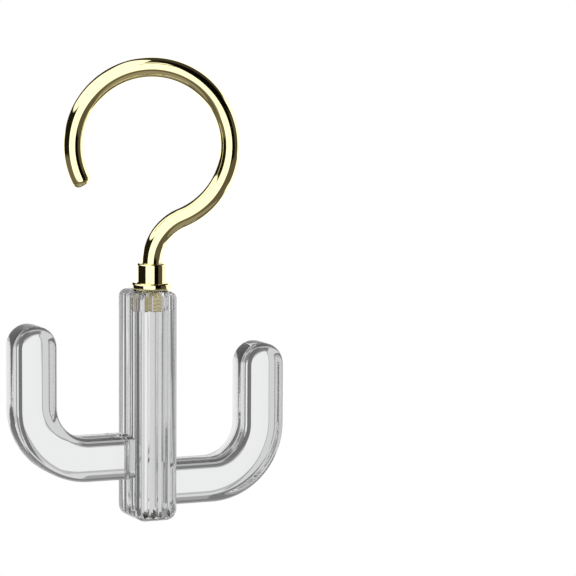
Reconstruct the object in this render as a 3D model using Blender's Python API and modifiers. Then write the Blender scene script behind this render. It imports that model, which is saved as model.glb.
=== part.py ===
"""Rotating purse holder: a bent rod hook turns on top of a clear reeded post with two clear J arms.

Metres, +Z up. The origin is the inside of the hook's crown, where a rail carries it, and the Z axis
is the swivel's axis. The arms reach along X, the flat sides of the arms and the post face -Y and +Y,
and the hook stands turned by HOOK_TURN about the swivel.
"""

import math

import bmesh
import bpy
from mathutils import Matrix, Vector

# Clearances
SEAT_GAP = 0.0003
RUNNING_GAP = 0.00015
OVERRUN = 0.003
ENVELOPE_MARGIN = 0.0001

# Hook rod
ROD_DIAMETER = 0.0067
RING_BORE = 0.0468
REVERSE_RADIUS = 0.0169
TIP_REACH = math.radians(30.5)
TIP_ROUNDING = 0.0021
HOOK_TURN = math.radians(-21.5)
ROD_SEAT_DEPTH = 0.0026
SPIGOT_DIAMETER = 0.004

# Threaded stud
STUD_DIAMETER = 0.008
WEB_THICKNESS = 0.0022
STUD_SKIN = 0.0006
SHANK_DEPTH = 0.007
THREAD_DEPTH = 0.0004
THREAD_PITCH = 0.00125
THREAD_LEAD_SHARE = 0.25

# Collar round the stud
BARREL_WALL = 0.0007
BARREL_HEIGHT = 0.0066
BARREL_ROUNDING = 0.0006
FLANGE_LIP = 0.00185
FLANGE_THICKNESS = 0.002
FLANGE_ROUNDING = 0.0006

# Washers and screw that hold the spigot
THRUST_THICKNESS = 0.0006
WASHER_THICKNESS = 0.0007
SCREW_DIAMETER = 0.0024
SCREW_GRIP = 0.0026
SCREW_HEAD_HEIGHT = 0.0014
SCREW_HEAD_LIP = 0.0010
SCREW_SLOT_WIDTH = 0.0008
SCREW_SLOT_DEPTH = 0.0006

# Reeded post
POST_WIDTH = 0.0152
POST_DEPTH = 0.019
POST_HEIGHT = 0.079
POST_OFFSET = -0.0015
POST_CORNER = 0.0017
POST_EDGE = 0.0023
POST_SHOULDER = 0.0027
POST_FOOT = 0.004
REED_COUNT = 3
REED_BULGE = 0.0003

# Arms
ARM_WIDTH = 0.015
ARM_THICKNESS = 0.014
LEFT_ARM_REACH = 0.0423
RIGHT_ARM_REACH = 0.0411
ARM_HEIGHT = 0.0544
ARM_BEND = 0.0115
ARM_EDGE = 0.003
POCKET_DEPTH = 0.001
TENON_STEP = 0.0004
RIGHT_ARM_RISE = 0.0047
LEFT_ARM_RISE = 0.0145

# Steps of round shapes
TURN_STEPS = 24
ROD_STEP = math.radians(6.0)
ROD_SECTION_STEPS = 6
ROUNDING_STEPS = 3
BEND_STEPS = 10
REED_STEPS = 4
ENVELOPE_STEPS = 5
CREASE_ANGLE = math.radians(50.0)

# Places along the swivel axis, from the rail seat down
RING_RADIUS = (RING_BORE + ROD_DIAMETER) / 2
RING_Z = -RING_BORE / 2
STEM_DROP = math.sqrt(RING_RADIUS**2 + 2 * RING_RADIUS * REVERSE_RADIUS)
BARREL_TOP = RING_Z - STEM_DROP
ROD_END = BARREL_TOP - ROD_SEAT_DEPTH
UPPER_THRUST_TOP = ROD_END - SEAT_GAP
STUD_TOP = UPPER_THRUST_TOP - THRUST_THICKNESS - SEAT_GAP
WEB_BASE = STUD_TOP - WEB_THICKNESS
LOWER_THRUST_TOP = WEB_BASE - SEAT_GAP
SPIGOT_END = LOWER_THRUST_TOP - THRUST_THICKNESS
WASHER_TOP = SPIGOT_END - SEAT_GAP
SCREW_HEAD_TOP = WASHER_TOP - WASHER_THICKNESS - SEAT_GAP
BARREL_BASE = BARREL_TOP - BARREL_HEIGHT
FLANGE_TOP = BARREL_BASE - SEAT_GAP
FLANGE_BASE = FLANGE_TOP - FLANGE_THICKNESS
POST_TOP = FLANGE_BASE - SEAT_GAP
POST_BASE = POST_TOP - POST_HEIGHT
STUD_BASE = POST_TOP - SHANK_DEPTH

# Radii that fit each other
SPIGOT_BORE = SPIGOT_DIAMETER / 2 + RUNNING_GAP
ROD_BORE = ROD_DIAMETER / 2 + SEAT_GAP
STUD_BORE = STUD_DIAMETER / 2 + SEAT_GAP
STUD_COUNTERBORE = STUD_DIAMETER / 2 - THREAD_DEPTH - STUD_SKIN
BARREL_RADIUS = max(ROD_BORE, STUD_BORE) + BARREL_WALL
FLANGE_RADIUS = BARREL_RADIUS + FLANGE_LIP
WASHER_RADIUS = STUD_COUNTERBORE - SEAT_GAP
SCREW_BORE = SCREW_DIAMETER / 2 + SEAT_GAP
SCREW_HEAD_RADIUS = SCREW_DIAMETER / 2 + SCREW_HEAD_LIP

# Angle between the stem and the point where the reverse bend meets the ring
REVERSE_SWEEP = math.atan2(STEM_DROP, REVERSE_RADIUS)

MERGE_DISTANCE = 0.00001


def arc(centre, radius, start, end, steps):
    """Points on an arc, both ends included, as (x, y) pairs."""
    angles = [start + (end - start) * i / steps for i in range(steps + 1)]
    return [(centre[0] + radius * math.cos(a), centre[1] + radius * math.sin(a)) for a in angles]


def steps_for(sweep, step):
    """How many equal steps no larger than step make up the sweep."""
    return max(1, math.ceil(abs(sweep) / step))


def make_material(name, colour, roughness, metallic, transmission):
    material = bpy.data.materials.new(name)
    material.use_nodes = True
    shader = material.node_tree.nodes["Principled BSDF"]
    shader.inputs["Base Color"].default_value = (*colour, 1)
    shader.inputs["Roughness"].default_value = roughness
    shader.inputs["Metallic"].default_value = metallic
    shader.inputs["Transmission Weight"].default_value = transmission
    material.diffuse_color = (*colour, 1)
    return material


def new_collection(name):
    collection = bpy.data.collections.new(name)
    bpy.context.scene.collection.children.link(collection)
    return collection


def new_empty(name, collection, location, turn):
    empty = bpy.data.objects.new(name, None)
    empty.empty_display_size = ROD_DIAMETER
    empty.location = location
    empty.rotation_euler = (0, 0, turn)
    collection.objects.link(empty)
    return empty


def add_object(name, data, collection, matrix=None):
    obj = bpy.data.objects.new(name, data)
    obj.matrix_world = matrix or Matrix()
    collection.objects.link(obj)
    return obj


def turned(name, outline, collection, closed=True):
    """A shape turned about the Z axis from (radius, z) points that run down its outer side."""
    mesh = bpy.data.meshes.new(name)
    count = len(outline)
    edges = [(i, (i + 1) % count) for i in range(count if closed else count - 1)]
    mesh.from_pydata([(radius, 0, z) for radius, z in outline], edges, [])
    obj = add_object(name, mesh, collection)
    screw = obj.modifiers.new("Turn", "SCREW")
    screw.steps = TURN_STEPS
    screw.render_steps = TURN_STEPS
    screw.use_merge_vertices = True
    screw.merge_threshold = MERGE_DISTANCE
    return obj


def ring_outline(outer, inner, top, base, rounding=0.0):
    """A ring's section, with its two outer edges rounded."""
    if not rounding:
        return [(outer, top), (outer, base), (inner, base), (inner, top)]
    edge_x = outer - rounding
    upper = arc((edge_x, top - rounding), rounding, math.pi / 2, 0, ROUNDING_STEPS)
    lower = arc((edge_x, base + rounding), rounding, 0, -math.pi / 2, ROUNDING_STEPS)
    return upper + lower + [(inner, base), (inner, top)]


def curve_to_mesh(curve_object, flat_ends=()):
    """Swaps a curve object for a mesh object of the same name, with its caps welded on.

    Each height in flat_ends has a flat cap, which becomes one face.
    """
    graph = bpy.context.evaluated_depsgraph_get()
    mesh = bpy.data.meshes.new_from_object(curve_object.evaluated_get(graph))
    name, matrix = curve_object.name, curve_object.matrix_world.copy()
    collection = curve_object.users_collection[0]
    bpy.data.objects.remove(curve_object)
    work = bmesh.new()
    work.from_mesh(mesh)
    bmesh.ops.remove_doubles(work, verts=work.verts, dist=MERGE_DISTANCE)
    for level in flat_ends:
        cap = [f for f in work.faces if all(abs(v.co.z - level) < MERGE_DISTANCE for v in f.verts)]
        bmesh.ops.dissolve_faces(work, faces=cap)
    bmesh.ops.recalc_face_normals(work, faces=work.faces)
    work.to_mesh(mesh)
    work.free()
    return add_object(name, mesh, collection, matrix)


def plate(name, outline, thickness, collection, matrix, rounding=0.0):
    """A flat outline drawn in the matrix's XY plane, with half the thickness on each side of it."""
    curve = bpy.data.curves.new(name, "CURVE")
    curve.dimensions = "2D"
    curve.fill_mode = "BOTH"
    curve.extrude = thickness / 2 - rounding
    curve.bevel_depth = rounding
    curve.offset = -rounding
    curve.bevel_resolution = ROUNDING_STEPS - 1
    spline = curve.splines.new("POLY")
    spline.points.add(len(outline) - 1)
    for point, (x, y) in zip(spline.points, outline):
        point.co = (x, y, 0, 1)
    spline.use_cyclic_u = True
    obj = add_object(name, curve, collection, matrix)
    bpy.context.view_layer.update()
    return curve_to_mesh(obj, (-thickness / 2, thickness / 2))


def boolean(obj, tool, operation):
    modifier = obj.modifiers.new(tool.name, "BOOLEAN")
    modifier.operation = operation
    modifier.object = tool
    modifier.solver = "EXACT"


def hide_tool(obj):
    obj.hide_render = True
    obj.display_type = "WIRE"


def finish_part(obj, material, parent):
    """Gives a part its material, its place under an empty and smooth round faces."""
    obj.data.materials.clear()
    obj.data.materials.append(material)
    obj.parent = parent
    obj.matrix_parent_inverse = Matrix.Translation(parent.location).inverted()
    if obj.data.polygons:
        obj.data.shade_smooth()
        obj.data.set_sharp_from_angle(angle=CREASE_ANGLE)


def hook_path():
    """(x, z, radius) along the rod's middle, from its end in the barrel to the rounded tip."""
    rod_radius = ROD_DIAMETER / 2
    reverse_steps = steps_for(REVERSE_SWEEP, ROD_STEP)
    reverse = arc(
        (REVERSE_RADIUS, BARREL_TOP), REVERSE_RADIUS, math.pi, math.pi - REVERSE_SWEEP, reverse_steps
    )
    tip_angle = math.pi + TIP_REACH
    rounded_angle = tip_angle - TIP_ROUNDING / RING_RADIUS
    ring_steps = steps_for(rounded_angle + REVERSE_SWEEP, ROD_STEP)
    ring = arc((0, RING_Z), RING_RADIUS, -REVERSE_SWEEP, rounded_angle, ring_steps)
    path = [(0, ROD_END)] + reverse + ring[1:]
    points = [(x, z, rod_radius) for x, z in path]
    for i in range(1, ROUNDING_STEPS + 1):
        turn = math.pi / 2 * i / ROUNDING_STEPS
        angle = rounded_angle + (tip_angle - rounded_angle) * math.sin(turn)
        x, z = arc((0, RING_Z), RING_RADIUS, angle, angle, 1)[0]
        points.append((x, z, rod_radius - TIP_ROUNDING * (1 - math.cos(turn))))
    return points


def make_hook_rod(parts, tools):
    """The bent rod with the turned spigot that hangs the post, tapped for the retaining screw."""
    points = hook_path()
    curve = bpy.data.curves.new("hook_rod", "CURVE")
    curve.dimensions = "3D"
    curve.bevel_depth = ROD_DIAMETER / 2
    curve.bevel_resolution = ROD_SECTION_STEPS
    curve.use_fill_caps = True
    spline = curve.splines.new("POLY")
    spline.points.add(len(points) - 1)
    for point, (x, z, radius) in zip(spline.points, points):
        point.co = (x, 0, z, 1)
        point.radius = radius / curve.bevel_depth
    rod = add_object("hook_rod", curve, parts)
    bpy.context.view_layer.update()
    rod = curve_to_mesh(rod)
    tapped_top = SPIGOT_END + SCREW_GRIP
    spigot_radius = SPIGOT_DIAMETER / 2
    spigot = turned(
        "spigot",
        [
            (0, ROD_END + ROD_SEAT_DEPTH / 2),
            (spigot_radius, ROD_END + ROD_SEAT_DEPTH / 2),
            (spigot_radius, SPIGOT_END),
            (SCREW_BORE, SPIGOT_END),
            (SCREW_BORE, tapped_top),
            (0, tapped_top),
        ],
        tools,
        closed=False,
    )
    hide_tool(spigot)
    boolean(rod, spigot, "UNION")
    return rod


def make_barrel(parts):
    """The upper collar: the rod turns in its top, and its lower bore screws down the stud."""
    step = UPPER_THRUST_TOP - THRUST_THICKNESS
    outline = ring_outline(BARREL_RADIUS, STUD_BORE, BARREL_TOP, BARREL_BASE, BARREL_ROUNDING)
    outline[-1] = (STUD_BORE, step)
    return turned("collar_barrel", outline + [(ROD_BORE, step), (ROD_BORE, BARREL_TOP)], parts)


def make_flange(parts):
    outline = ring_outline(FLANGE_RADIUS, STUD_BORE, FLANGE_TOP, FLANGE_BASE, FLANGE_ROUNDING)
    return turned("collar_flange", outline, parts)


def make_stud(parts):
    """The hollow stud: the spigot hangs through its web, and its thread holds it in the post."""
    radius = STUD_DIAMETER / 2
    thread_length = SHANK_DEPTH - THREAD_PITCH / 2
    turns = int(thread_length / THREAD_PITCH)
    thread_top = STUD_BASE + (turns + THREAD_LEAD_SHARE) * THREAD_PITCH
    outline = [(radius, STUD_TOP), (radius, thread_top)]
    for i in range(turns):
        crest = thread_top - i * THREAD_PITCH
        outline.append((radius - THREAD_DEPTH, crest - THREAD_PITCH / 2))
        outline.append((radius, crest - THREAD_PITCH))
    outline += [
        (radius, STUD_BASE),
        (STUD_COUNTERBORE, STUD_BASE),
        (STUD_COUNTERBORE, WEB_BASE),
        (SPIGOT_BORE, WEB_BASE),
        (SPIGOT_BORE, STUD_TOP),
    ]
    return turned("threaded_stud", outline, parts)


def make_washer(name, outer, inner, top, thickness, parts):
    return turned(name, ring_outline(outer, inner, top, top - thickness), parts)


def make_screw(parts, tools):
    """The slotted screw in the spigot's end, whose head carries the washers."""
    head_base = SCREW_HEAD_TOP - SCREW_HEAD_HEIGHT
    screw = turned(
        "retaining_screw",
        [
            (0, SPIGOT_END + SCREW_GRIP - SEAT_GAP),
            (SCREW_DIAMETER / 2, SPIGOT_END + SCREW_GRIP - SEAT_GAP),
            (SCREW_DIAMETER / 2, SCREW_HEAD_TOP),
            (SCREW_HEAD_RADIUS, SCREW_HEAD_TOP),
            (SCREW_HEAD_RADIUS, head_base),
            (0, head_base),
        ],
        parts,
        closed=False,
    )
    slot_half = SCREW_SLOT_WIDTH / 2
    slot_length = 2 * (SCREW_HEAD_RADIUS + OVERRUN)
    outline = [
        (-slot_half, head_base - OVERRUN),
        (slot_half, head_base - OVERRUN),
        (slot_half, head_base + SCREW_SLOT_DEPTH),
        (-slot_half, head_base + SCREW_SLOT_DEPTH),
    ]
    slot = plate("screw_slot", outline, slot_length, tools, Matrix.Rotation(math.pi / 2, 4, "X"))
    hide_tool(slot)
    boolean(screw, slot, "DIFFERENCE")
    return screw


def reeded_outline():
    """The post's section, anticlockwise: each corner is a bead, and each side has a row of reeds."""
    flare = math.acos((POST_CORNER - REED_BULGE) / POST_CORNER)
    bead_half = POST_CORNER * math.sin(flare)
    outline = []
    for quarter in range(4):
        across, along = (POST_WIDTH, POST_DEPTH) if quarter % 2 == 0 else (POST_DEPTH, POST_WIDTH)
        face = across / 2
        corner = (face - POST_CORNER, POST_CORNER - along / 2)
        side = arc(corner, POST_CORNER, -math.pi / 2 - flare, flare, 2 * REED_STEPS)[:-1]
        run = along - 2 * (POST_CORNER + bead_half)
        pitch = run / REED_COUNT
        reed_radius = (pitch**2 / 4 + REED_BULGE**2) / (2 * REED_BULGE)
        reed_half = math.asin(pitch / 2 / reed_radius)
        for i in range(REED_COUNT):
            middle = (face - reed_radius, (i + 0.5) * pitch - run / 2)
            side += arc(middle, reed_radius, -reed_half, reed_half, REED_STEPS)[:-1]
        turn = Matrix.Rotation(quarter * math.pi / 2, 2)
        outline += [tuple(turn @ Vector(point)) for point in side]
    return outline


def post_envelope_outline():
    """The post seen from the front, with small shoulders at the top and rounder corners at the foot."""
    half = POST_WIDTH / 2 + ENVELOPE_MARGIN
    top, top_z = half - POST_SHOULDER, POST_TOP - POST_SHOULDER
    foot, foot_z = half - POST_FOOT, POST_BASE + POST_FOOT
    quarter = math.pi / 2
    return (
        arc((foot, foot_z), POST_FOOT, -quarter, 0, ENVELOPE_STEPS)
        + arc((top, top_z), POST_SHOULDER, 0, quarter, ENVELOPE_STEPS)
        + arc((-top, top_z), POST_SHOULDER, quarter, 2 * quarter, ENVELOPE_STEPS)
        + arc((-foot, foot_z), POST_FOOT, 2 * quarter, 3 * quarter, ENVELOPE_STEPS)
    )


def upright(x):
    """Stands a drawn outline up in the XZ plane, its middle at x."""
    return Matrix.Translation((x, 0, 0)) @ Matrix.Rotation(math.pi / 2, 4, "X")


def tenon_outline(gap=0.0):
    """The section of the tenon on an arm's end, grown by a gap all round."""
    inset = TENON_STEP - gap
    half_y, half_z = ARM_THICKNESS / 2 - inset, ARM_WIDTH / 2 - inset
    radius = ARM_EDGE - inset
    outline = []
    for i, (side_y, side_z) in enumerate([(1, 1), (-1, 1), (-1, -1), (1, -1)]):
        centre = (side_y * (half_y - radius), side_z * (half_z - radius))
        outline += arc(centre, radius, i * math.pi / 2, (i + 1) * math.pi / 2, ROUNDING_STEPS)
    return outline


def across(x, z):
    """Stands an arm's section up across the X axis, its middle at x and z."""
    turn = Matrix.Rotation(math.pi / 2, 4, "Z") @ Matrix.Rotation(math.pi / 2, 4, "X")
    return Matrix.Translation((x, 0, z)) @ turn


def make_post(parts, tools):
    """The clear reeded post, bored for the stud, with a shallow pocket for each arm."""
    middle = Matrix.Translation((POST_OFFSET, 0, (POST_TOP + POST_BASE) / 2))
    length = POST_HEIGHT + 2 * OVERRUN
    post = plate("reeded_post", reeded_outline(), length, parts, middle)
    depth = POST_DEPTH + 2 * ENVELOPE_MARGIN
    outline = post_envelope_outline()
    rounding = min(POST_EDGE, POST_SHOULDER)
    envelope = plate("post_envelope", outline, depth, tools, upright(POST_OFFSET), rounding)
    hide_tool(envelope)
    boolean(post, envelope, "INTERSECT")
    bore_base = STUD_BASE - SEAT_GAP
    bore_top = POST_TOP + OVERRUN
    bore = turned(
        "stud_bore",
        [(0, bore_top), (STUD_BORE, bore_top), (STUD_BORE, bore_base), (0, bore_base)],
        tools,
        closed=False,
    )
    hide_tool(bore)
    boolean(post, bore, "DIFFERENCE")
    for side, rise in ((-1, LEFT_ARM_RISE), (1, RIGHT_ARM_RISE)):
        depth = POCKET_DEPTH + OVERRUN
        x = POST_OFFSET + side * (POST_WIDTH / 2 - POCKET_DEPTH + depth / 2)
        name = "left_pocket" if side < 0 else "right_pocket"
        place = across(x, POST_BASE + rise + ARM_WIDTH / 2)
        pocket = plate(name, tenon_outline(SEAT_GAP), depth, tools, place)
        hide_tool(pocket)
        boolean(post, pocket, "DIFFERENCE")
    return post


def arm_outline(side, reach, inset):
    """A J of even width from inset behind the post's side face, out and up to a round end."""
    half = ARM_WIDTH / 2
    quarter = math.pi / 2
    bend = (reach - ARM_WIDTH - ARM_BEND, ARM_WIDTH + ARM_BEND)
    tip = (reach - half, ARM_HEIGHT - half)
    points = (
        [(-inset, 0)]
        + arc(bend, ARM_WIDTH + ARM_BEND, -quarter, 0, BEND_STEPS)
        + arc(tip, half, 0, 2 * quarter, BEND_STEPS)
        + arc(bend, ARM_BEND, 0, -quarter, BEND_STEPS)
        + [(-inset, ARM_WIDTH)]
    )
    return [(side * x, z) for x, z in points]


def make_arm(name, side, reach, rise, parts, tools):
    """A J cut from thick clear plate, its edges rounded, with a tenon let into the post's pocket."""
    face = POST_OFFSET + side * POST_WIDTH / 2
    place = Matrix.Translation((face, 0, POST_BASE + rise)) @ Matrix.Rotation(math.pi / 2, 4, "X")
    blank_inset = ARM_EDGE + OVERRUN
    arm = plate(name, arm_outline(side, reach, blank_inset), ARM_THICKNESS, parts, place, ARM_EDGE)
    shoulder, cut_far = side * SEAT_GAP, -side * (blank_inset + OVERRUN)
    trim_outline = [
        (shoulder, -OVERRUN),
        (shoulder, ARM_WIDTH + OVERRUN),
        (cut_far, ARM_WIDTH + OVERRUN),
        (cut_far, -OVERRUN),
    ]
    trim = plate(name + "_trim", trim_outline, ARM_THICKNESS + 2 * OVERRUN, tools, place)
    hide_tool(trim)
    boolean(arm, trim, "DIFFERENCE")
    inset = POCKET_DEPTH - SEAT_GAP
    length = inset + OVERRUN
    middle = across(face + side * (length / 2 - inset), POST_BASE + rise + ARM_WIDTH / 2)
    tenon = plate(name + "_tenon", tenon_outline(), length, tools, middle)
    hide_tool(tenon)
    boolean(arm, tenon, "UNION")
    return arm


def main():
    for obj in list(bpy.data.objects):
        bpy.data.objects.remove(obj)
    parts = new_collection("rotating_purse_holder")
    tools = new_collection("cutters")

    clear = make_material("clear_acrylic", (0.97, 0.98, 0.98), 0.02, 0.0, 1.0)
    champagne = make_material("champagne_gold", (0.93, 0.88, 0.66), 0.08, 1.0, 0.0)
    nylon = make_material("natural_nylon", (0.85, 0.84, 0.80), 0.45, 0.0, 0.0)
    zinc = make_material("zinc_plate", (0.62, 0.62, 0.60), 0.3, 1.0, 0.0)

    hook_axis = new_empty("hook_axis", parts, (0, 0, 0), HOOK_TURN)
    swivel_axis = new_empty("swivel_axis", parts, (0, 0, BARREL_TOP), 0)

    finish_part(make_hook_rod(parts, tools), champagne, hook_axis)
    washer = make_washer(
        "retaining_washer", WASHER_RADIUS, SCREW_BORE, WASHER_TOP, WASHER_THICKNESS, parts
    )
    finish_part(washer, zinc, hook_axis)
    finish_part(make_screw(parts, tools), zinc, hook_axis)

    upper = make_washer(
        "upper_thrust_washer", ROD_DIAMETER / 2, SPIGOT_BORE, UPPER_THRUST_TOP, THRUST_THICKNESS, parts
    )
    lower = make_washer(
        "lower_thrust_washer", WASHER_RADIUS, SPIGOT_BORE, LOWER_THRUST_TOP, THRUST_THICKNESS, parts
    )
    for thrust in (upper, lower):
        finish_part(thrust, nylon, swivel_axis)
    for metal in (make_barrel(parts), make_flange(parts), make_stud(parts)):
        finish_part(metal, champagne, swivel_axis)
    finish_part(make_post(parts, tools), clear, swivel_axis)
    arms = (
        make_arm("arm_left", -1, LEFT_ARM_REACH, LEFT_ARM_RISE, parts, tools),
        make_arm("arm_right", 1, RIGHT_ARM_REACH, RIGHT_ARM_RISE, parts, tools),
    )
    for arm in arms:
        finish_part(arm, clear, swivel_axis)


if __name__ == "__main__":
    main()
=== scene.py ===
"""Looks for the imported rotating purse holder: a polished pale gold hook and collar on a clear reeded post.

Every piece is made in metres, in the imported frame's own coordinates, so each one sits where its CAD
node is. The gold pieces are swept and turned with fine fillets, and the clear ones are real refracting
solids. A white world with light and dark patches by direction gives both something to show.
"""

import logging
import math
from collections.abc import Iterable, Mapping, Sequence
from dataclasses import dataclass
from enum import Enum

import bmesh
import bpy
from mathutils import Matrix, Vector


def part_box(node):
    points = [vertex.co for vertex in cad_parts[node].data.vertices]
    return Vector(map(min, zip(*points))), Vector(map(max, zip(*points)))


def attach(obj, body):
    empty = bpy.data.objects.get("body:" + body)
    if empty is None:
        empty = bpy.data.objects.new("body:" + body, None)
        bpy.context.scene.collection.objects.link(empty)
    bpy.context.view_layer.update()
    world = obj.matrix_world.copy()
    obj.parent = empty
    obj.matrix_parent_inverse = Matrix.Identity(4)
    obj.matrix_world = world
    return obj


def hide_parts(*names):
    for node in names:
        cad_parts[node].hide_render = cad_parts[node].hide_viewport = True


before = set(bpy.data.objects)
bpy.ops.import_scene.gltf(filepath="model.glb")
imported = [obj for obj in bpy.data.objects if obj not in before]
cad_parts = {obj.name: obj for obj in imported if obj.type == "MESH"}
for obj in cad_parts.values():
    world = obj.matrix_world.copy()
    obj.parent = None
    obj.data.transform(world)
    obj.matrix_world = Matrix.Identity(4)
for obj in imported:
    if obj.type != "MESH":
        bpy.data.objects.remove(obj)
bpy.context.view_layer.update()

log = logging.getLogger("purse_holder")

Point2 = tuple[float, float]
Colour = tuple[float, float, float]

QUARTER = math.pi / 2
MERGE_DISTANCE = 1e-6
TURNED_CREASE = math.radians(40)
SWEPT_CREASE = math.radians(50)
THREAD_CREASE = math.radians(35)
CLEAR_CREASE = math.radians(24)


class Body(Enum):
    """The two bodies that the swivel joins."""

    HOOK = "hook"
    POST = "post"


class Slot(Enum):
    """The record's material slot names, by finish."""

    GOLD = "champagne_gold"
    CLEAR = "clear_acrylic"


class Side(Enum):
    """Which way an arm reaches along X."""

    LEFT = -1
    RIGHT = 1


# Node trees


class Value:
    """A number socket that adds Math nodes when Python's operators are used on it."""

    def __init__(self, tree: bpy.types.NodeTree, socket: bpy.types.NodeSocket) -> None:
        """Wraps an output socket of a tree."""
        self.tree = tree
        self.socket = socket

    def _math(self, operation: str, first: "Value | float", second: "Value | float") -> "Value":
        """Adds one Math node.

        Args:
            operation: The Math node's operation.
            first: The first operand.
            second: The second operand.

        Returns:
            The node's result.
        """
        math_node = self.tree.nodes.new("ShaderNodeMath")
        math_node.operation = operation
        for socket, operand in zip(math_node.inputs, (first, second)):
            if isinstance(operand, Value):
                self.tree.links.new(operand.socket, socket)
            else:
                socket.default_value = operand
        return Value(self.tree, math_node.outputs[0])

    def __add__(self, other: "Value | float") -> "Value":
        """Adds."""
        return self._math("ADD", self, other)

    def __radd__(self, other: float) -> "Value":
        """Adds, from the right."""
        return self._math("ADD", other, self)

    def __sub__(self, other: "Value | float") -> "Value":
        """Subtracts."""
        return self._math("SUBTRACT", self, other)

    def __rsub__(self, other: float) -> "Value":
        """Subtracts from a number."""
        return self._math("SUBTRACT", other, self)

    def __mul__(self, other: "Value | float") -> "Value":
        """Multiplies."""
        return self._math("MULTIPLY", self, other)

    def __rmul__(self, other: float) -> "Value":
        """Multiplies, from the right."""
        return self._math("MULTIPLY", other, self)

    def angle_to(self, other: "Value") -> "Value":
        """The angle whose tangent is this over the other, in radians."""
        return self._math("ARCTAN2", self, other)

    def arcsine(self) -> "Value":
        """The angle whose sine this is, in radians."""
        return self._math("ARCSINE", self, 0.0)

    def size(self) -> "Value":
        """The number without its sign."""
        return self._math("ABSOLUTE", self, 0.0)

    def wrapped(self, low: float, high: float) -> "Value":
        """The number brought into a range by whole steps of the range's length."""
        wrapped = self._math("WRAP", self, high)
        wrapped.socket.node.inputs[2].default_value = low
        return wrapped

    def at_most(self, other: "Value | float") -> "Value":
        """The smaller of the two."""
        return self._math("MINIMUM", self, other)

    def at_least(self, other: "Value | float") -> "Value":
        """The larger of the two."""
        return self._math("MAXIMUM", self, other)


class NodeGraph:
    """A node tree that is filled through one method for every kind of node."""

    def __init__(self, tree: bpy.types.NodeTree) -> None:
        """Takes the tree that new nodes go into."""
        self.tree = tree

    def node(
        self,
        kind: str,
        settings: Mapping[str, object] | None = None,
        inputs: Mapping[str, object] | None = None,
    ) -> bpy.types.Node:
        """Adds a node.

        Args:
            kind: The node's type.
            settings: Its properties, which are set before its sockets.
            inputs: Values or links of its sockets, by the sockets' identifiers.

        Returns:
            The new node.
        """
        node = self.tree.nodes.new(kind)
        for name, setting in (settings or {}).items():
            setattr(node, name, setting)
        sockets = {socket.identifier: socket for socket in node.inputs}
        for name, value in (inputs or {}).items():
            if isinstance(value, Value):
                self.tree.links.new(value.socket, sockets[name])
            elif isinstance(value, bpy.types.NodeSocket):
                self.tree.links.new(value, sockets[name])
            else:
                sockets[name].default_value = value
        return node

    def value(self, node: bpy.types.Node, output: str) -> Value:
        """One of a node's outputs as a number to calculate with."""
        return Value(self.tree, node.outputs[output])

    def blend(self, share: Value, first: Colour, second: Colour) -> bpy.types.NodeSocket:
        """Mixes two colours.

        Args:
            share: How much of the second colour shows.
            first: The first colour.
            second: The second colour.

        Returns:
            The mixed colour's socket.
        """
        mix = self.node(
            "ShaderNodeMix",
            {"data_type": "RGBA"},
            {"Factor_Float": share, "A_Color": (*first, 1), "B_Color": (*second, 1)},
        )
        return next(socket for socket in mix.outputs if socket.identifier == "Result_Color")


class MaterialGraph(NodeGraph):
    """A material's tree, with the patterns that the finishes share."""

    def __init__(self, name: str) -> None:
        """Starts an empty material of this name."""
        self.material = bpy.data.materials.new(name)
        self.material.use_nodes = True
        super().__init__(self.material.node_tree)
        self.tree.nodes.clear()
        self.place = self.node("ShaderNodeTexCoord").outputs["Object"]

    def noise(self, size: float, detail: float = 2.0, stretch: Sequence[float] = (1, 1, 1)) -> Value:
        """A soft noise on Object coordinates.

        Args:
            size: The size of its features in metres.
            detail: How many octaves it has.
            stretch: How much longer the features are along each axis.

        Returns:
            The noise, around 0.5.
        """
        scale = tuple(1 / (size * share) for share in stretch)
        mapping = self.node("ShaderNodeMapping", inputs={"Vector": self.place, "Scale": scale})
        noise = self.node(
            "ShaderNodeTexNoise",
            inputs={"Vector": mapping.outputs["Vector"], "Scale": 1.0, "Detail": detail},
        )
        return Value(self.tree, noise.outputs["Fac"])

    def bump(self, height: Value, distance: float) -> bpy.types.NodeSocket:
        """Turns a height into a normal.

        Args:
            height: The height, as a share of the distance.
            distance: The full height in metres.

        Returns:
            The normal's socket.
        """
        bump = self.node("ShaderNodeBump", inputs={"Height": height, "Distance": distance, "Strength": 1.0})
        return bump.outputs["Normal"]

    def finish(self, shader: bpy.types.NodeSocket) -> bpy.types.Material:
        """Joins a shader to the output and returns the material."""
        self.node("ShaderNodeOutputMaterial", inputs={"Surface": shader})
        return self.material


# Finishes


@dataclass(frozen=True)
class PolishedGold:
    """Pale gold plating, polished, with faint haze and a little handling wear."""

    name: str = "polished_champagne_gold"
    bright: Colour = (0.97, 0.90, 0.53)
    warm: Colour = (0.94, 0.86, 0.48)
    roughness: float = 0.035
    haze: float = 0.05
    haze_size: float = 0.006
    haze_start: float = 0.45
    haze_gain: float = 2.0
    fine_size: float = 0.00075
    orange_peel: float = 2e-7
    peel_size: float = 0.0011

    def build(self) -> bpy.types.Material:
        """Builds the material: hazy patches, a faint warmer tone in them and a trace of orange peel."""
        graph = MaterialGraph(self.name)
        patches = graph.noise(self.haze_size, detail=3)
        fine = graph.noise(self.fine_size)
        smudge = (patches - self.haze_start).at_least(0) * self.haze_gain
        shader = graph.node(
            "ShaderNodeBsdfPrincipled",
            inputs={
                "Base Color": graph.blend(smudge.at_most(1), self.bright, self.warm),
                "Metallic": 1.0,
                "Roughness": self.roughness + smudge * fine * self.haze,
                "Normal": graph.bump(graph.noise(self.peel_size), self.orange_peel),
            },
        )
        return graph.finish(shader.outputs["BSDF"])


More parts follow.
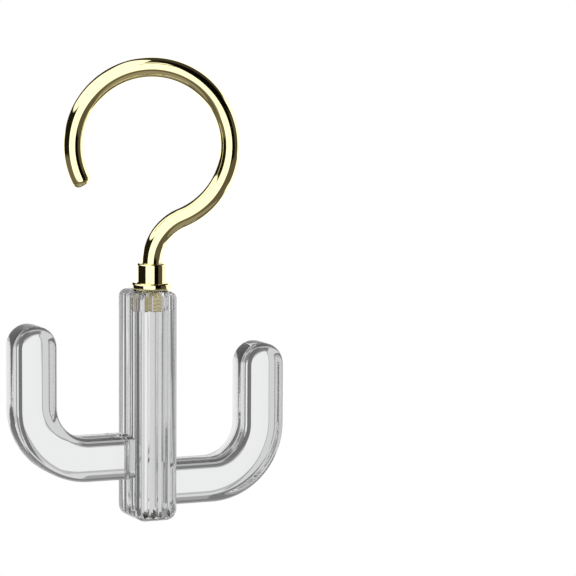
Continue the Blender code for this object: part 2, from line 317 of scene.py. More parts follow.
@dataclass(frozen=True)
class TurnedBrass(PolishedGold):
    """The stud's bare brass, duller and darker than the plating."""

    name: str = "turned_brass"
    bright: Colour = (0.62, 0.53, 0.30)
    warm: Colour = (0.52, 0.41, 0.20)
    roughness: float = 0.12


@dataclass(frozen=True)
class ClearAcrylic:
    """Cast clear acrylic with flame-polished edges."""

    name: str = "clear_cast_acrylic"
    colour: Colour = (0.93, 0.935, 0.935)
    ior: float = 1.49
    haze: float = 0.012
    haze_size: float = 0.012
    haze_start: float = 0.5

    def build(self) -> bpy.types.Material:
        """Builds the material: a refracting solid with traces of handling haze."""
        graph = MaterialGraph(self.name)
        haze = (graph.noise(self.haze_size, detail=3) - self.haze_start).at_least(0)
        shader = graph.node(
            "ShaderNodeBsdfPrincipled",
            inputs={
                "Base Color": (*self.colour, 1),
                "Transmission Weight": 1.0,
                "IOR": self.ior,
                "Roughness": haze * self.haze,
            },
        )
        return graph.finish(shader.outputs["BSDF"])


@dataclass(frozen=True)
class MilkyNylon:
    """Plain nylon of the thrust washers, milky with a moulded grain."""

    name: str = "milky_nylon"
    pale: Colour = (0.86, 0.85, 0.80)
    dull: Colour = (0.78, 0.76, 0.70)
    grain: float = 0.0004
    grain_height: float = 0.00001
    roughness: float = 0.42
    mottle: float = 0.15

    def build(self) -> bpy.types.Material:
        """Builds the material: mottled colour and matt grain."""
        graph = MaterialGraph(self.name)
        grain = graph.noise(self.grain, detail=3)
        shader = graph.node(
            "ShaderNodeBsdfPrincipled",
            inputs={
                "Base Color": graph.blend(grain, self.pale, self.dull),
                "Roughness": self.roughness + grain * self.mottle,
                "Normal": graph.bump(grain, self.grain_height),
            },
        )
        return graph.finish(shader.outputs["BSDF"])


@dataclass(frozen=True)
class BrightZinc:
    """Bright zinc plate of the retaining screw and washer, with turning marks."""

    name: str = "bright_zinc_plate"
    pale: Colour = (0.66, 0.67, 0.68)
    dark: Colour = (0.48, 0.49, 0.52)
    mark: float = 0.00012
    mark_height: float = 0.000006
    mark_stretch: tuple[float, float, float] = (8, 8, 1)
    patch: float = 0.0009
    roughness: float = 0.24
    mottle: float = 0.16

    def build(self) -> bpy.types.Material:
        """Builds the material: patchy plating over fine turning marks."""
        graph = MaterialGraph(self.name)
        patches = graph.noise(self.patch, detail=3)
        marks = graph.noise(self.mark, stretch=self.mark_stretch)
        shader = graph.node(
            "ShaderNodeBsdfPrincipled",
            inputs={
                "Base Color": graph.blend(patches, self.pale, self.dark),
                "Metallic": 1.0,
                "Roughness": self.roughness + patches * self.mottle,
                "Normal": graph.bump(marks, self.mark_height),
            },
        )
        return graph.finish(shader.outputs["BSDF"])


# Mesh helpers


def arc(centre: Point2, radius: float, start: float, end: float, steps: int) -> list[Point2]:
    """Points on an arc, both ends included.

    Args:
        centre: The arc's centre.
        radius: Its radius.
        start: The angle of the first point.
        end: The angle of the last point.
        steps: How many equal steps lie between them.

    Returns:
        The points.
    """
    angles = [start + (end - start) * i / steps for i in range(steps + 1)]
    return [(centre[0] + radius * math.cos(a), centre[1] + radius * math.sin(a)) for a in angles]


def link_mesh(name: str, mesh: bpy.types.Mesh) -> bpy.types.Object:
    """Puts a mesh into the scene as an object at the origin."""
    obj = bpy.data.objects.new(name, mesh)
    bpy.context.scene.collection.objects.link(obj)
    return obj


def tidy_mesh(mesh: bpy.types.Mesh, smooth_angle: float) -> None:
    """Welds a mesh, turns its faces outwards and smooths what is flatter than an angle.

    Args:
        mesh: The mesh, changed in place.
        smooth_angle: Edges that turn by more than this stay sharp.
    """
    work = bmesh.new()
    work.from_mesh(mesh)
    bmesh.ops.remove_doubles(work, verts=work.verts, dist=MERGE_DISTANCE)
    bmesh.ops.recalc_face_normals(work, faces=work.faces)
    work.to_mesh(mesh)
    work.free()
    mesh.shade_smooth()
    mesh.set_sharp_from_angle(angle=smooth_angle)


def evaluated_mesh(obj: bpy.types.Object, name: str) -> bpy.types.Object:
    """Swaps an object with live modifiers for a plain mesh object.

    Args:
        obj: The object, which is removed.
        name: The name of the new one.

    Returns:
        The plain object, at the origin.
    """
    graph = bpy.context.evaluated_depsgraph_get()
    mesh = bpy.data.meshes.new_from_object(obj.evaluated_get(graph))
    mesh.transform(obj.matrix_world)
    mesh.name = name
    bpy.data.objects.remove(obj)
    return link_mesh(name, mesh)


def ring_of(radius: float, z: float, sides: int) -> list[tuple[float, float, float]]:
    """Points round the Z axis at one height."""
    angles = [math.tau * i / sides for i in range(sides)]
    return [(radius * math.cos(angle), radius * math.sin(angle), z) for angle in angles]


def ring_faces(lower: int, upper: int, sides: int) -> list[tuple[int, int, int, int]]:
    """The faces between two rings of points.

    Args:
        lower: The index of the first ring's first point.
        upper: The index of the second ring's first point.
        sides: How many points a ring has.

    Returns:
        The faces.
    """
    pairs = [(i, (i + 1) % sides) for i in range(sides)]
    return [(lower + i, lower + j, upper + j, upper + i) for i, j in pairs]


def turned(name: str, outline: Sequence[Point2], steps: int) -> bpy.types.Object:
    """Turns a closed (radius, z) outline about the Z axis.

    Args:
        name: The object's name.
        outline: The section, one point after another round it.
        steps: How many steps go round the axis.

    Returns:
        The turned object.
    """
    vertices = [point for radius, z in outline for point in ring_of(radius, z, steps)]
    starts = [i * steps for i in range(len(outline))]
    faces = [face for i, start in enumerate(starts) for face in ring_faces(starts[i - 1], start, steps)]
    mesh = bpy.data.meshes.new(name)
    mesh.from_pydata(vertices, [], faces)
    tidy_mesh(mesh, TURNED_CREASE)
    return link_mesh(name, mesh)


def filleted(corners: Sequence[tuple[float, float, float]], steps: int) -> list[Point2]:
    """A closed outline whose corners are rounded.

    Args:
        corners: (x, y, fillet radius) of each corner. A radius of zero leaves it sharp.
        steps: How many steps each fillet has.

    Returns:
        The outline's points.
    """
    outline: list[Point2] = []
    for i, (x, y, radius) in enumerate(corners):
        here = Vector((x, y))
        if not radius:
            outline.append((x, y))
            continue
        back = (Vector(corners[i - 1][:2]) - here).normalized()
        ahead = (Vector(corners[(i + 1) % len(corners)][:2]) - here).normalized()
        half = back.angle(ahead) / 2
        centre = here + (back + ahead).normalized() * radius / math.sin(half)
        first = here + back * radius / math.tan(half) - centre
        last = here + ahead * radius / math.tan(half) - centre
        sweep = first.angle_signed(last)
        for step in range(steps + 1):
            outline.append(tuple(centre + Matrix.Rotation(-sweep * step / steps, 2) @ first))
    return outline


def rounded_plate(
    name: str, outline: Sequence[Point2], thickness: float, rounding: float, steps: int, place: Matrix
) -> bpy.types.Object:
    """A flat outline given a thickness, with its edges rounded on both faces.

    Args:
        name: The object's name.
        outline: The outline in the place's XY plane.
        thickness: The whole thickness, half on each side of that plane.
        rounding: The radius along the edges.
        steps: How many steps the rounding has.
        place: Where the outline is drawn.

    Returns:
        The plate.
    """
    curve = bpy.data.curves.new(name, "CURVE")
    curve.dimensions = "2D"
    curve.fill_mode = "BOTH"
    curve.extrude = thickness / 2 - rounding
    curve.bevel_depth = rounding
    curve.offset = -rounding
    curve.bevel_resolution = steps - 1
    spline = curve.splines.new("POLY")
    spline.points.add(len(outline) - 1)
    for point, (x, y) in zip(spline.points, outline):
        point.co = (x, y, 0, 1)
    spline.use_cyclic_u = True
    obj = bpy.data.objects.new(name, curve)
    obj.matrix_world = place
    bpy.context.scene.collection.objects.link(obj)
    bpy.context.view_layer.update()
    obj = evaluated_mesh(obj, name)
    work = bmesh.new()
    work.from_mesh(obj.data)
    bmesh.ops.remove_doubles(work, verts=work.verts, dist=MERGE_DISTANCE)
    normal = place.to_3x3() @ Vector((0, 0, 1))
    middle = place.translation.dot(normal)
    for side in (-thickness / 2, thickness / 2):
        level = middle + side
        flat = {v for v in work.verts if abs(v.co.dot(normal) - level) < MERGE_DISTANCE}
        bmesh.ops.dissolve_faces(work, faces=[f for f in work.faces if flat.issuperset(f.verts)])
    bmesh.ops.recalc_face_normals(work, faces=work.faces)
    work.to_mesh(obj.data)
    work.free()
    return obj


def combined(name: str, base: bpy.types.Object, *tools: tuple[bpy.types.Object, str]) -> bpy.types.Object:
    """Joins, cuts or trims a solid with others, which are used up.

    Args:
        name: The result's name.
        base: The solid to work on.
        tools: Each other solid with its Boolean operation.

    Returns:
        The resulting solid.
    """
    for tool, operation in tools:
        modifier = base.modifiers.new(tool.name, "BOOLEAN")
        modifier.operation = operation
        modifier.object = tool
        modifier.solver = "EXACT"
    bpy.context.view_layer.update()
    result = evaluated_mesh(base, name)
    for tool, _ in tools:
        bpy.data.objects.remove(tool)
    return result


def dress(piece: bpy.types.Object, material: bpy.types.Material, slot: Slot, body: Body, *nodes: str) -> None:
    """Gives a piece its finish, its body and the CAD nodes that it stands for.

    Args:
        piece: The piece.
        material: Its finish.
        slot: Not used.
        body: The body it moves with.
        nodes: The CAD nodes that it replaces.
    """
    piece.data.materials.clear()
    piece.data.materials.append(material)
    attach(piece, body.value)
    if nodes:
        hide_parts(*nodes)
    log.info("%s: %d faces, on %s", piece.name, len(piece.data.polygons), body.value)


# The swept rod's tree


class SweepTree:
    """A Geometry Nodes tree that sweeps a round section along the piece's own edges."""

    def __init__(self, name: str, material: bpy.types.Material) -> None:
        """Builds the tree.

        Args:
            name: The tree's name.
            material: The finish that the swept rod gets.
        """
        self.group = bpy.data.node_groups.new(name, "GeometryNodeTree")
        graph = NodeGraph(self.group)
        interface = self.group.interface
        interface.new_socket("Path", in_out="INPUT", socket_type="NodeSocketGeometry")
        self.radius = interface.new_socket("Radius", in_out="INPUT", socket_type="NodeSocketFloat").identifier
        self.sides = interface.new_socket("Sides", in_out="INPUT", socket_type="NodeSocketInt").identifier
        interface.new_socket("Rod", in_out="OUTPUT", socket_type="NodeSocketGeometry")
        start = graph.node("NodeGroupInput")
        path = graph.node("GeometryNodeMeshToCurve", inputs={"Mesh": start.outputs["Path"]})
        taper = graph.node("GeometryNodeInputNamedAttribute", {"data_type": "FLOAT"}, {"Name": "taper"})
        section = graph.node(
            "GeometryNodeCurvePrimitiveCircle",
            inputs={"Resolution": start.outputs["Sides"], "Radius": start.outputs["Radius"]},
        )
        swept = graph.node(
            "GeometryNodeCurveToMesh",
            inputs={
                "Curve": path.outputs["Curve"],
                "Profile Curve": section.outputs["Curve"],
                "Scale": taper.outputs["Attribute"],
                "Fill Caps": True,
            },
        )
        realised = graph.node("GeometryNodeRealizeInstances", inputs={"Geometry": swept.outputs["Mesh"]})
        finished = graph.node(
            "GeometryNodeSetMaterial", inputs={"Geometry": realised.outputs["Geometry"], "Material": material}
        )
        end = graph.node("NodeGroupOutput")
        self.group.links.new(finished.outputs["Geometry"], end.inputs["Rod"])

    def sweep(
        self, name: str, path: Sequence[Vector], tapers: Sequence[float], radius: float, sides: int
    ) -> bpy.types.Object:
        """Sweeps a rod along a path.

        Args:
            name: The piece's name.
            path: The points of the rod's middle line.
            tapers: The share of the radius at each point.
            radius: The rod's radius.
            sides: How many sides the section has.

        Returns:
            The rod as a plain mesh object.
        """
        mesh = bpy.data.meshes.new(name)
        mesh.from_pydata(path, [(i, i + 1) for i in range(len(path) - 1)], [])
        mesh.attributes.new("taper", "FLOAT", "POINT").data.foreach_set("value", list(tapers))
        obj = link_mesh(name, mesh)
        modifier = obj.modifiers.new(self.group.name, "NODES")
        modifier.node_group = self.group
        modifier[self.radius] = radius
        modifier[self.sides] = sides
        bpy.context.view_layer.update()
        swept = evaluated_mesh(obj, name)
        tidy_mesh(swept.data, SWEPT_CREASE)
        return swept


# The hook


@dataclass
class Hook:
    """The bent rod that hangs on a rail, from its rounded tip to its end in the collar."""

    rod_diameter: float = 0.0067
    ring_bore: float = 0.0468
    reverse_radius: float = 0.0169
    tip_reach: float = math.radians(30.5)
    tip_rounding: float = 0.0021
    tip_steps: int = 12
    turn: float = math.radians(-21.5)
    seat_depth: float = 0.0026
    step: float = math.radians(2.0)
    sides: int = 64

    @property
    def ring_radius(self) -> float:
        """The radius of the ring's middle line."""
        return (self.ring_bore + self.rod_diameter) / 2

    @property
    def collar_top(self) -> float:
        """Where the rod's stem enters the collar."""
        reverse = self.reverse_radius
        drop = math.sqrt(self.ring_radius**2 + 2 * self.ring_radius * reverse)
        return -self.ring_bore / 2 - drop

    def path(self) -> tuple[list[Vector], list[float]]:
        """The rod's middle line from the collar to the tip.

        Returns:
            The points and the share of the radius at each.
        """
        ring_z = -self.ring_bore / 2
        sweep = math.atan2(ring_z - self.collar_top, self.reverse_radius)
        tip = math.pi + self.tip_reach
        rounded = tip - self.tip_rounding / self.ring_radius
        reverse = arc(
            (self.reverse_radius, self.collar_top),
            self.reverse_radius,
            math.pi,
            math.pi - sweep,
            math.ceil(sweep / self.step),
        )
        ring = arc((0, ring_z), self.ring_radius, -sweep, rounded, math.ceil((rounded + sweep) / self.step))
        flat = [(0.0, self.collar_top - self.seat_depth)] + reverse + ring[1:]
        tapers = [1.0] * len(flat)
        for i in range(1, self.tip_steps + 1):
            quarter = QUARTER * i / self.tip_steps
            angle = rounded + (tip - rounded) * math.sin(quarter)
            flat.append((self.ring_radius * math.cos(angle), ring_z + self.ring_radius * math.sin(angle)))
            tapers.append(1 - self.tip_rounding * (1 - math.cos(quarter)) / (self.rod_diameter / 2))
        turn = Matrix.Rotation(self.turn, 3, "Z")
        return [turn @ Vector((x, 0, z)) for x, z in flat], tapers

    def build(self, gold: bpy.types.Material) -> None:
        """Makes the polished rod and dresses it."""
        path, tapers = self.path()
        rod = SweepTree("rod_sweep", gold).sweep(
            "polished_hook_rod", path, tapers, self.rod_diameter / 2, self.sides
        )
        dress(rod, gold, Slot.GOLD, Body.HOOK, "hook_rod")


# The collar and the stud


@dataclass
class Collar:
    """The turned barrel and flange that close the swivel, on the threaded stud."""

    rod_clearance: float = 0.00015
    barrel_rounding: float = 0.0008
    bore_rounding: float = 0.0008 / 3
    flange_rounding: float = 0.0009
    touch: float = 0.00002
    thread_pitch: float = 0.00125
    thread_depth: float = 0.00012
    stud_wall: float = 0.001
    spigot_bore: float = 0.00215
    steps: int = 128
    fillet_steps: int = 8
    thread_sides: int = 72
    thread_rows: int = 10

    def build(self, hook: Hook, gold: bpy.types.Material, brass: bpy.types.Material) -> None:
        """Makes the barrel, the flange and the stud, and dresses them.

        Args:
            hook: The hook, whose rod turns in the barrel.
            gold: The barrel's and the flange's finish.
            brass: The stud's finish.
        """
        barrel_low, barrel_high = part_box("collar_barrel")
        flange_low, flange_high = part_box("collar_flange")
        post_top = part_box("reeded_post")[1][2]
        stud_low, stud_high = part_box("threaded_stud")
        barrel_radius = (barrel_high[0] - barrel_low[0]) / 2
        flange_radius = (flange_high[0] - flange_low[0]) / 2
        stud_radius = (stud_high[0] - stud_low[0]) / 2
        bore = hook.rod_diameter / 2 + self.rod_clearance
        barrel = turned(
            "polished_collar_barrel",
            filleted(
                [
                    (barrel_radius, barrel_high[2], self.barrel_rounding),
                    (barrel_radius, barrel_low[2] - self.touch, 0),
                    (bore, barrel_low[2] - self.touch, 0),
                    (bore, barrel_high[2], self.bore_rounding),
                ],
                self.fillet_steps,
            ),
            self.steps,
        )
        dress(barrel, gold, Slot.GOLD, Body.POST, "collar_barrel")
        flange = turned(
            "polished_collar_flange",
            filleted(
                [
                    (flange_radius, barrel_low[2], self.flange_rounding),
                    (flange_radius, post_top + self.touch, self.flange_rounding),
                    (stud_radius, post_top + self.touch, 0),
                    (stud_radius, barrel_low[2], 0),
                ],
                self.fillet_steps,
            ),
            self.steps,
        )
        dress(flange, gold, Slot.GOLD, Body.POST, "collar_flange")
        self.build_stud(brass, stud_radius, stud_low[2], stud_high[2])

    def build_stud(self, brass: bpy.types.Material, radius: float, base: float, top: float) -> None:
        """Makes the hollow stud with a real helical thread.

        Args:
            brass: Its finish.
            radius: The thread's outer radius.
            base: Its lower end.
            top: Its upper end.
        """
        around = self.thread_sides
        inner = radius - self.stud_wall
        web_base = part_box("lower_thrust_washer")[1][2]
        runout = self.thread_pitch / 2
        rows = math.ceil((top - base) / self.thread_pitch * self.thread_rows)
        vertices = []
        for row in range(rows + 1):
            z = base + (top - base) * row / rows
            fade = min(1.0, min(z - base, top - z) / runout)
            for i in range(around):
                phase = (z / self.thread_pitch - i / around) % 1.0
                depth = self.thread_depth * (abs(2 * phase - 1) * fade + 1 - fade)
                angle = math.tau * i / around
                vertices.append(((radius - depth) * math.cos(angle), (radius - depth) * math.sin(angle), z))
        bores = [(self.spigot_bore, top), (self.spigot_bore, web_base), (inner, web_base), (inner, base)]
        for bore, z in bores:
            vertices += ring_of(bore, z, around)
        starts = range(0, len(vertices), around)
        faces = [face for i, start in enumerate(starts) for face in ring_faces(starts[i - 1], start, around)]
        mesh = bpy.data.meshes.new("helical_threaded_stud")
        mesh.from_pydata(vertices, [], faces)
        tidy_mesh(mesh, THREAD_CREASE)
        stud = link_mesh("helical_threaded_stud", mesh)
        dress(stud, brass, Slot.GOLD, Body.POST, "threaded_stud")


# The clear post and arms


@dataclass
class ClearPost:
    """The reeded post: a bead at each corner and shallow reeds on each side."""

    reed_count: int = 3
    reed_bulge: float = 0.0005
    corner: float = 0.0017
    edge: float = 0.0026
    shoulder: float = 0.0027
    foot: float = 0.004
    margin: float = 0.0001
    overrun: float = 0.003
    reed_steps: int = 16
    edge_steps: int = 10
    bore_radius: float = 0.0043
    bore_steps: int = 96

    def __post_init__(self) -> None:
        """Takes the outer sizes from the CAD node."""
        low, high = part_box("reeded_post")
        self.width, self.depth = high[0] - low[0], high[1] - low[1]
        self.middle_x = (high[0] + low[0]) / 2
        self.base, self.top = low[2], high[2]

    def section(self) -> list[Point2]:
        """The post's section, anticlockwise from its right side."""
        bulge = self.reed_bulge
        flare = math.acos((self.corner - bulge) / self.corner)
        bead_half = self.corner * math.sin(flare)
        outline: list[Point2] = []
        for quarter in range(4):
            across, along = (self.width, self.depth) if quarter % 2 == 0 else (self.depth, self.width)
            face = across / 2
            centre = (face - self.corner, self.corner - along / 2)
            side = arc(centre, self.corner, -QUARTER - flare, flare, 2 * self.reed_steps)[:-1]
            run = along - 2 * (self.corner + bead_half)
            pitch = run / self.reed_count
            reed_radius = (pitch**2 / 4 + bulge**2) / (2 * bulge)
            reed_half = math.asin(pitch / 2 / reed_radius)
            for i in range(self.reed_count):
                middle = (face - reed_radius, (i + 0.5) * pitch - run / 2)
                side += arc(middle, reed_radius, -reed_half, reed_half, self.reed_steps)[:-1]
            turn = Matrix.Rotation(quarter * QUARTER, 2)
            outline += [tuple(turn @ Vector(point)) for point in side]
        return outline

    def build(self, arms: "Iterable[ClearArm]", acrylic: bpy.types.Material) -> None:
        """Makes the post, bored for the stud and pocketed for the arms, and dresses it.

        Args:
            arms: The arms, which cut their pockets.
            acrylic: Its finish.
        """
        height = self.top - self.base
        middle = Matrix.Translation((self.middle_x, 0, (self.top + self.base) / 2))
        post = rounded_plate("post_blank", self.section(), height + 2 * self.overrun, 0.0, 1, middle)
        half = self.width / 2 + self.margin
        outline = filleted(
            [
                (half, self.base, self.foot),
                (half, self.top, self.shoulder),
                (-half, self.top, self.shoulder),
                (-half, self.base, self.foot),
            ],
            self.edge_steps,
        )
        upright = Matrix.Translation((self.middle_x, 0, 0)) @ Matrix.Rotation(QUARTER, 4, "X")
        envelope = rounded_plate(
            "post_envelope", outline, self.depth + 2 * self.margin, self.edge, self.edge_steps, upright
        )
        bore_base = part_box("threaded_stud")[0][2]
        bore = turned(
            "stud_bore",
            [
                (0, self.top + self.overrun),
                (self.bore_radius, self.top + self.overrun),
                (self.bore_radius, bore_base),
                (0, bore_base),
            ],
            self.bore_steps,
        )
        pockets = [(arm.pocket(), "DIFFERENCE") for arm in arms]
        post = combined("clear_reeded_post", post, (envelope, "INTERSECT"), (bore, "DIFFERENCE"), *pockets)
        tidy_mesh(post.data, CLEAR_CREASE)
        dress(post, acrylic, Slot.CLEAR, Body.POST, "reeded_post")


@dataclass
class ClearArm:
    """A J-shaped arm of thick clear plate with rounded edges, its tenon let into the post."""

    side: Side
    node: str
    width: float = 0.015
    bend: float = 0.0115
    edge: float = 0.003
    tenon_step: float = 0.0004
    pocket_gap: float = -0.00002
    pocket_depth: float = 0.001
    end_gap: float = 0.0001
    overrun: float = 0.003
    bend_steps: int = 48
    edge_steps: int = 10

    def __post_init__(self) -> None:
        """Takes the outer sizes from the CAD node and the post."""
        low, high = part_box(self.node)
        post_low, post_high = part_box("reeded_post")
        self.face = post_high[0] if self.side is Side.RIGHT else post_low[0]
        outer = high[0] if self.side is Side.RIGHT else low[0]
        self.reach = abs(outer - self.face)
        self.base, self.top = low[2], high[2]
        self.thickness = high[1] - low[1]

    def outline(self, inset: float) -> list[Point2]:
        """The J's outline from inside the post out and up to its round end, around the post's face.

        Args:
            inset: How far it starts inside the post's face.

        Returns:
            The points, X from the post's face and Z from the arm's base.
        """
        half = self.width / 2
        height = self.top - self.base
        bend = (self.reach - self.width - self.bend, self.width + self.bend)
        tip = (self.reach - half, height - half)
        points = (
            [(-inset, 0.0)]
            + arc(bend, self.width + self.bend, -QUARTER, 0, self.bend_steps)
            + arc(tip, half, 0, 2 * QUARTER, self.bend_steps)
            + arc(bend, self.bend, 0, -QUARTER, self.bend_steps)
            + [(-inset, self.width)]
        )
        return [(self.side.value * x, z) for x, z in points]

    def tenon_section(self, gap: float) -> list[Point2]:
        """The tenon's section, grown by a gap."""
        inset = self.tenon_step - gap
        y, z, radius = self.thickness / 2 - inset, self.width / 2 - inset, self.edge - inset
        return filleted([(y, z, radius), (-y, z, radius), (-y, -z, radius), (y, -z, radius)], self.edge_steps)

    def across(self, name: str, gap: float, start: float, end: float) -> bpy.types.Object:
        """A bar of the tenon's section along X.

        Args:
            name: Its name.
            gap: How much it is grown all round.
            start: Where it starts, measured outwards from the post's face.
            end: Where it ends.

        Returns:
            The bar.
        """
        turn = Matrix.Rotation(QUARTER, 4, "Z") @ Matrix.Rotation(QUARTER, 4, "X")
        x = self.face + self.side.value * (start + end) / 2
        place = Matrix.Translation((x, 0, self.base + self.width / 2)) @ turn
        return rounded_plate(name, self.tenon_section(gap), end - start, 0.0, 1, place)

    def pocket(self) -> bpy.types.Object:
        """The solid that cuts this arm's pocket into the post."""
        return self.across(self.node + "_pocket", self.pocket_gap, -self.pocket_depth, self.overrun)

    def build(self, acrylic: bpy.types.Material) -> None:
        """Makes the arm and dresses it."""
        place = Matrix.Translation((self.face, 0, self.base)) @ Matrix.Rotation(QUARTER, 4, "X")
        inset = self.edge + self.overrun
        arm = rounded_plate(
            "arm_blank", self.outline(inset), self.thickness, self.edge, self.edge_steps, place
        )
        far = -self.side.value * (inset + self.overrun)
        low, high = -self.overrun, self.width + self.overrun
        corners = [(0.0, low), (far, low), (far, high), (0.0, high)]
        trim = rounded_plate("arm_trim", corners, self.thickness + 2 * self.overrun, 0.0, 1, place)
        tenon = self.across("arm_tenon", 0.0, self.end_gap - self.pocket_depth, self.overrun)
        arm = combined("clear_" + self.node, arm, (trim, "DIFFERENCE"), (tenon, "UNION"))
        tidy_mesh(arm.data, CLEAR_CREASE)
        dress(arm, acrylic, Slot.CLEAR, Body.POST, self.node)


# The studio


@dataclass(frozen=True)
class Patch:
    """A reflector or flag of the studio, far off, which gives gold or acrylic something to show.

    Its angles are in degrees as seen from the part: azimuth from the camera round to the right, and
    elevation up from the horizon.
    """

    azimuths: tuple[float, float]
    elevations: tuple[float, float]
    light: float
    soft: float = 1.0


class Sky(NodeGraph):
    """The world round the part, with patches on it that differ for gold and for acrylic."""

    def __init__(self, name: str, facing: float) -> None:
        """Starts the world and works out a direction's azimuth and elevation.

        Args:
            name: The world's name.
            facing: The azimuth that the patches' own are measured from, in radians.
        """
        world = bpy.data.worlds.new(name)
        world.use_nodes = True
        bpy.context.scene.world = world
        super().__init__(world.node_tree)
        self.tree.nodes.clear()
        direction = self.node("ShaderNodeTexCoord").outputs["Generated"]
        axes = self.node("ShaderNodeSeparateXYZ", inputs={"Vector": direction})
        x, y, z = (self.value(axes, axis) for axis in "XYZ")
        self.azimuth = (y.angle_to(x) - facing) * math.degrees(1)
        self.elevation = z.arcsine() * math.degrees(1)

    def inside(self, angle: Value, low: float, high: float, soft: float) -> Value:
        """How far an angle lies inside a range, from 0 outside to 1 within its soft rim.

        Args:
            angle: The angle in degrees, or any whole turn from it.
            low: Where the range starts.
            high: Where it ends.
            soft: The width of its rim.

        Returns:
            The share.
        """
        offset = (angle - (low + high) / 2).wrapped(-180, 180).size()
        rim = self.node(
            "ShaderNodeMapRange",
            {"interpolation_type": "SMOOTHSTEP"},
            {
                "Value": offset,
                "From Min": (high - low) / 2 + soft,
                "From Max": (high - low) / 2,
            },
        )
        return self.value(rim, "Result")

    def light(self, base: float, patches: Iterable[Patch]) -> Value:
        """The light from each direction.

        Args:
            base: The light where no patch is.
            patches: The patches, each over the ones before it.

        Returns:
            The light.
        """
        light = self.azimuth * 0 + base
        for patch in patches:
            across = self.inside(self.azimuth, *patch.azimuths, patch.soft)
            up = self.inside(self.elevation, *patch.elevations, patch.soft)
            share = across * up
            light = light + (patch.light - light) * share
        return light

    def finish(self, strength: Value, tint: bpy.types.NodeSocket) -> None:
        """Joins a background of this strength and colour to the output."""
        background = self.node("ShaderNodeBackground", inputs={"Color": tint, "Strength": strength})
        self.node("ShaderNodeOutputWorld", inputs={"Surface": background.outputs["Background"]})


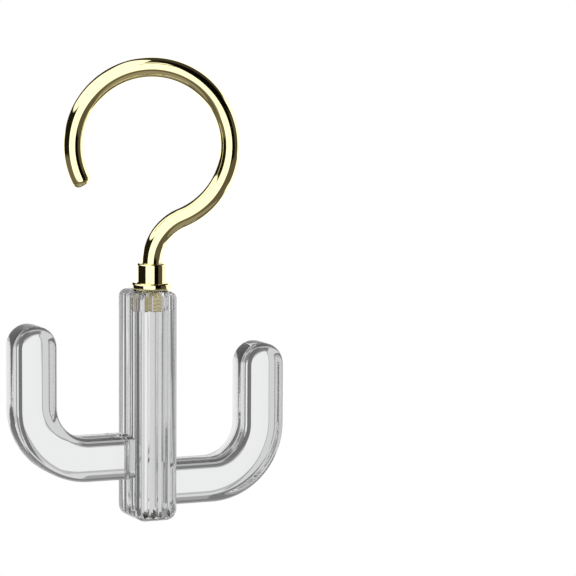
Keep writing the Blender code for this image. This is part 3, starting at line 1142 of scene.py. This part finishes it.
@dataclass
class Studio:
    """A plain white studio: pale floor, soft light all round, and patches that gold and acrylic show."""

    facing: float
    floor_drop: float = 0.30
    floor_size: float = 1.1
    floor_tone: float = 0.9
    floor_glow: float = 0.85
    soft_light: float = 0.75
    gold_light: float = 1.35
    dim_tint: Colour = (1.0, 0.86, 0.66)
    gold_patches: tuple[Patch, ...] = (
        # The floor with a dim rim, dimmer behind, and the bright wall over it
        Patch((-180, 180), (-90, -24), 0.30, 5.0),
        Patch((-180, 180), (-41, -29), 0.13, 4.0),
        Patch((100, 260), (-58, -38), 0.12, 6.0),
        Patch((96, 236), (-32, 28), 1.35, 5.0),
        # The dark ceiling on the right and over the front, with one dim lamp
        Patch((24, 202), (32, 90), 0.05, 7.0),
        Patch((-8, 24), (60, 90), 0.05, 4.0),
        Patch((-8, 26), (43, 47), 0.3, 3.0),
        # The black flag on the right, a weak glow in it and its foot
        Patch((22, 90), (-12, 90), 0.002, 3.0),
        Patch((60, 88), (-12, 12), 0.09, 10.0),
        Patch((22, 100), (-28, -13), 0.11, 4.0),
        # The black flag on the left and its foot, and a tall one behind it
        Patch((-132, -50), (-12, 18.5), 0.012, 2.5),
        Patch((-132, -50), (-28, -13), 0.16, 4.0),
        Patch((186, 232), (4, 52), 0.02, 4.0),
    )
    acrylic_light: float = 0.9
    acrylic_patches: tuple[Patch, ...] = (
        # The ceiling, and the room in front with its bright right side
        Patch((-180, 180), (24, 90), 0.32, 1.0),
        Patch((-62, 62), (-50, 45), 0.62, 4.0),
        Patch((32, 62), (-22, 13), 0.95, 3.0),
        # Level bands behind, from the floor up
        Patch((100, 260), (-90, -36), 0.09, 1.0),
        Patch((100, 260), (-35, -28), 0.45, 1.0),
        Patch((100, 260), (-27, -17), 0.16, 1.0),
        Patch((100, 260), (-16, -14), 0.50, 1.0),
        Patch((100, 260), (-6.0, -0.5), 0.50, 0.5),
        Patch((100, 260), (0, 8.4), 0.72, 0.5),
        Patch((100, 260), (8.8, 10.4), 0.34, 0.4),
        Patch((100, 260), (10.8, 23), 0.17, 0.6),
        # Upright cards and flags behind, from right to left
        Patch((134, 143), (-30, 4), 0.20, 2.0),
        Patch((154, 167), (-30, 4), 0.12, 2.0),
        Patch((183.0, 184.4), (-30, 4), 0.35, 0.5),
        Patch((185.2, 211), (-30, 4), 0.68, 0.6),
        Patch((211, 219), (-30, 4), 0.14, 1.5),
        Patch((220, 229), (-30, 4), 0.60, 1.0),
        Patch((230, 240), (-30, 4), 0.55, 1.0),
        Patch((241, 268), (-30, 4), 0.20, 1.5),
    )

    def build(self) -> None:
        """Builds the world and the floor."""
        self.build_world()
        self.build_floor()

    def build_world(self) -> None:
        """White for the camera, patched for gold and acrylic, and a plain soft light for the rest."""
        sky = Sky("white_studio", self.facing)
        path = sky.node("ShaderNodeLightPath")
        camera, glossy, through = (
            sky.value(path, f"Is {kind} Ray") for kind in ("Camera", "Glossy", "Transmission")
        )
        acrylic = through * (1 - camera)
        sharp = sky.value(path, "Is Singular Ray")
        gold = glossy * (1 - acrylic) * (1 - camera) * (1 - sharp)
        room = sky.light(self.gold_light, self.gold_patches)
        strength = (
            camera
            + acrylic * sky.light(self.acrylic_light, self.acrylic_patches)
            + gold * room
            + (1 - camera) * (1 - acrylic) * (1 - gold) * self.soft_light
        )
        dim = gold * (1 - room).at_least(0)
        sky.finish(strength, sky.blend(dim, (1, 1, 1), self.dim_tint))

    def build_floor(self) -> None:
        """A pale floor well under the part, white where the camera sees it, that keeps a soft shadow."""
        half = self.floor_size / 2
        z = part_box("reeded_post")[0][2] - self.floor_drop
        mesh = bpy.data.meshes.new("floor")
        corners = [(-half, -half, z), (half, -half, z), (half, half, z), (-half, half, z)]
        mesh.from_pydata(corners, [], [(0, 1, 2, 3)])
        graph = MaterialGraph("pale_floor")
        path = graph.node("ShaderNodeLightPath")
        seen = (
            graph.value(path, "Is Camera Ray")
            .at_least(graph.value(path, "Is Glossy Ray"))
            .at_least(graph.value(path, "Is Transmission Ray"))
        )
        tone = (self.floor_tone, self.floor_tone, self.floor_tone, 1)
        diffuse = graph.node("ShaderNodeBsdfDiffuse", inputs={"Color": tone})
        white = graph.node("ShaderNodeEmission", inputs={"Color": (1, 1, 1, 1), "Strength": 1.0})
        mix = graph.node("ShaderNodeMixShader", inputs={"Fac": seen * self.floor_glow})
        graph.tree.links.new(diffuse.outputs["BSDF"], mix.inputs[1])
        graph.tree.links.new(white.outputs["Emission"], mix.inputs[2])
        mesh.materials.append(graph.finish(mix.outputs["Shader"]))
        floor = link_mesh("floor", mesh)
        floor.visible_transmission = False
        floor.visible_glossy = False


@dataclass
class PhotoCamera:
    """The photograph's viewpoint: slightly above, from the part's front left."""

    azimuth: float = math.radians(21.46)
    elevation: float = math.radians(6.88)
    focal_pixels: float = 3634.0
    axis_pixel: float = 127.64
    image_pixels: float = 576.0
    sensor: float = 36.0
    near: float = 0.01
    metres_per_pixel: float = 0.0003415
    aim: tuple[float, float, float] = (-0.008846, 0.0, -0.071888)

    @property
    def forward(self) -> Vector:
        """The way that the camera looks."""
        a, e = self.azimuth, self.elevation
        return Vector((math.sin(a) * math.cos(e), math.cos(a) * math.cos(e), -math.sin(e)))

    def build(self) -> None:
        """Places the camera."""
        a, e = self.azimuth, self.elevation
        forward = self.forward
        up = Vector((math.sin(a) * math.sin(e), math.cos(a) * math.sin(e), math.cos(e)))
        right = Vector((math.cos(a), -math.sin(a), 0))
        data = bpy.data.cameras.new("photo_camera")
        data.sensor_width = self.sensor
        data.lens = self.focal_pixels * data.sensor_width / self.image_pixels
        data.shift_x = (self.image_pixels / 2 - self.axis_pixel) / self.image_pixels
        data.clip_start = self.near
        camera = bpy.data.objects.new("photo_camera", data)
        matrix = Matrix((right, up, -forward)).transposed().to_4x4()
        matrix.translation = Vector(self.aim) - forward * self.focal_pixels * self.metres_per_pixel
        camera.matrix_world = matrix
        bpy.context.scene.collection.objects.link(camera)
        bpy.context.scene.camera = camera


def dress_hidden_parts() -> None:
    """Gives the swivel's inner pieces, which stay as CAD nodes, their own finishes."""
    nylon, zinc = MilkyNylon().build(), BrightZinc().build()
    finishes = {
        "upper_thrust_washer": nylon,
        "lower_thrust_washer": nylon,
        "retaining_washer": zinc,
        "retaining_screw": zinc,
    }
    for node, material in finishes.items():
        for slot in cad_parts[node].material_slots:
            slot.material = material
        log.info("%s: %s", node, material.name)


def main() -> None:
    """Builds the part's pieces in order, then the studio and the camera."""
    logging.basicConfig(level=logging.INFO, format="%(name)s: %(message)s")
    bpy.context.scene.view_settings.view_transform = "Standard"
    gold, acrylic, brass = PolishedGold().build(), ClearAcrylic().build(), TurnedBrass().build()
    hook = Hook()
    hook.build(gold)
    Collar().build(hook, gold, brass)
    arms = [ClearArm(Side.LEFT, "arm_left"), ClearArm(Side.RIGHT, "arm_right")]
    ClearPost().build(arms, acrylic)
    for arm in arms:
        arm.build(acrylic)
    dress_hidden_parts()
    camera = PhotoCamera()
    camera.build()
    Studio(-QUARTER - camera.azimuth).build()


if __name__ == "__main__":
    main()
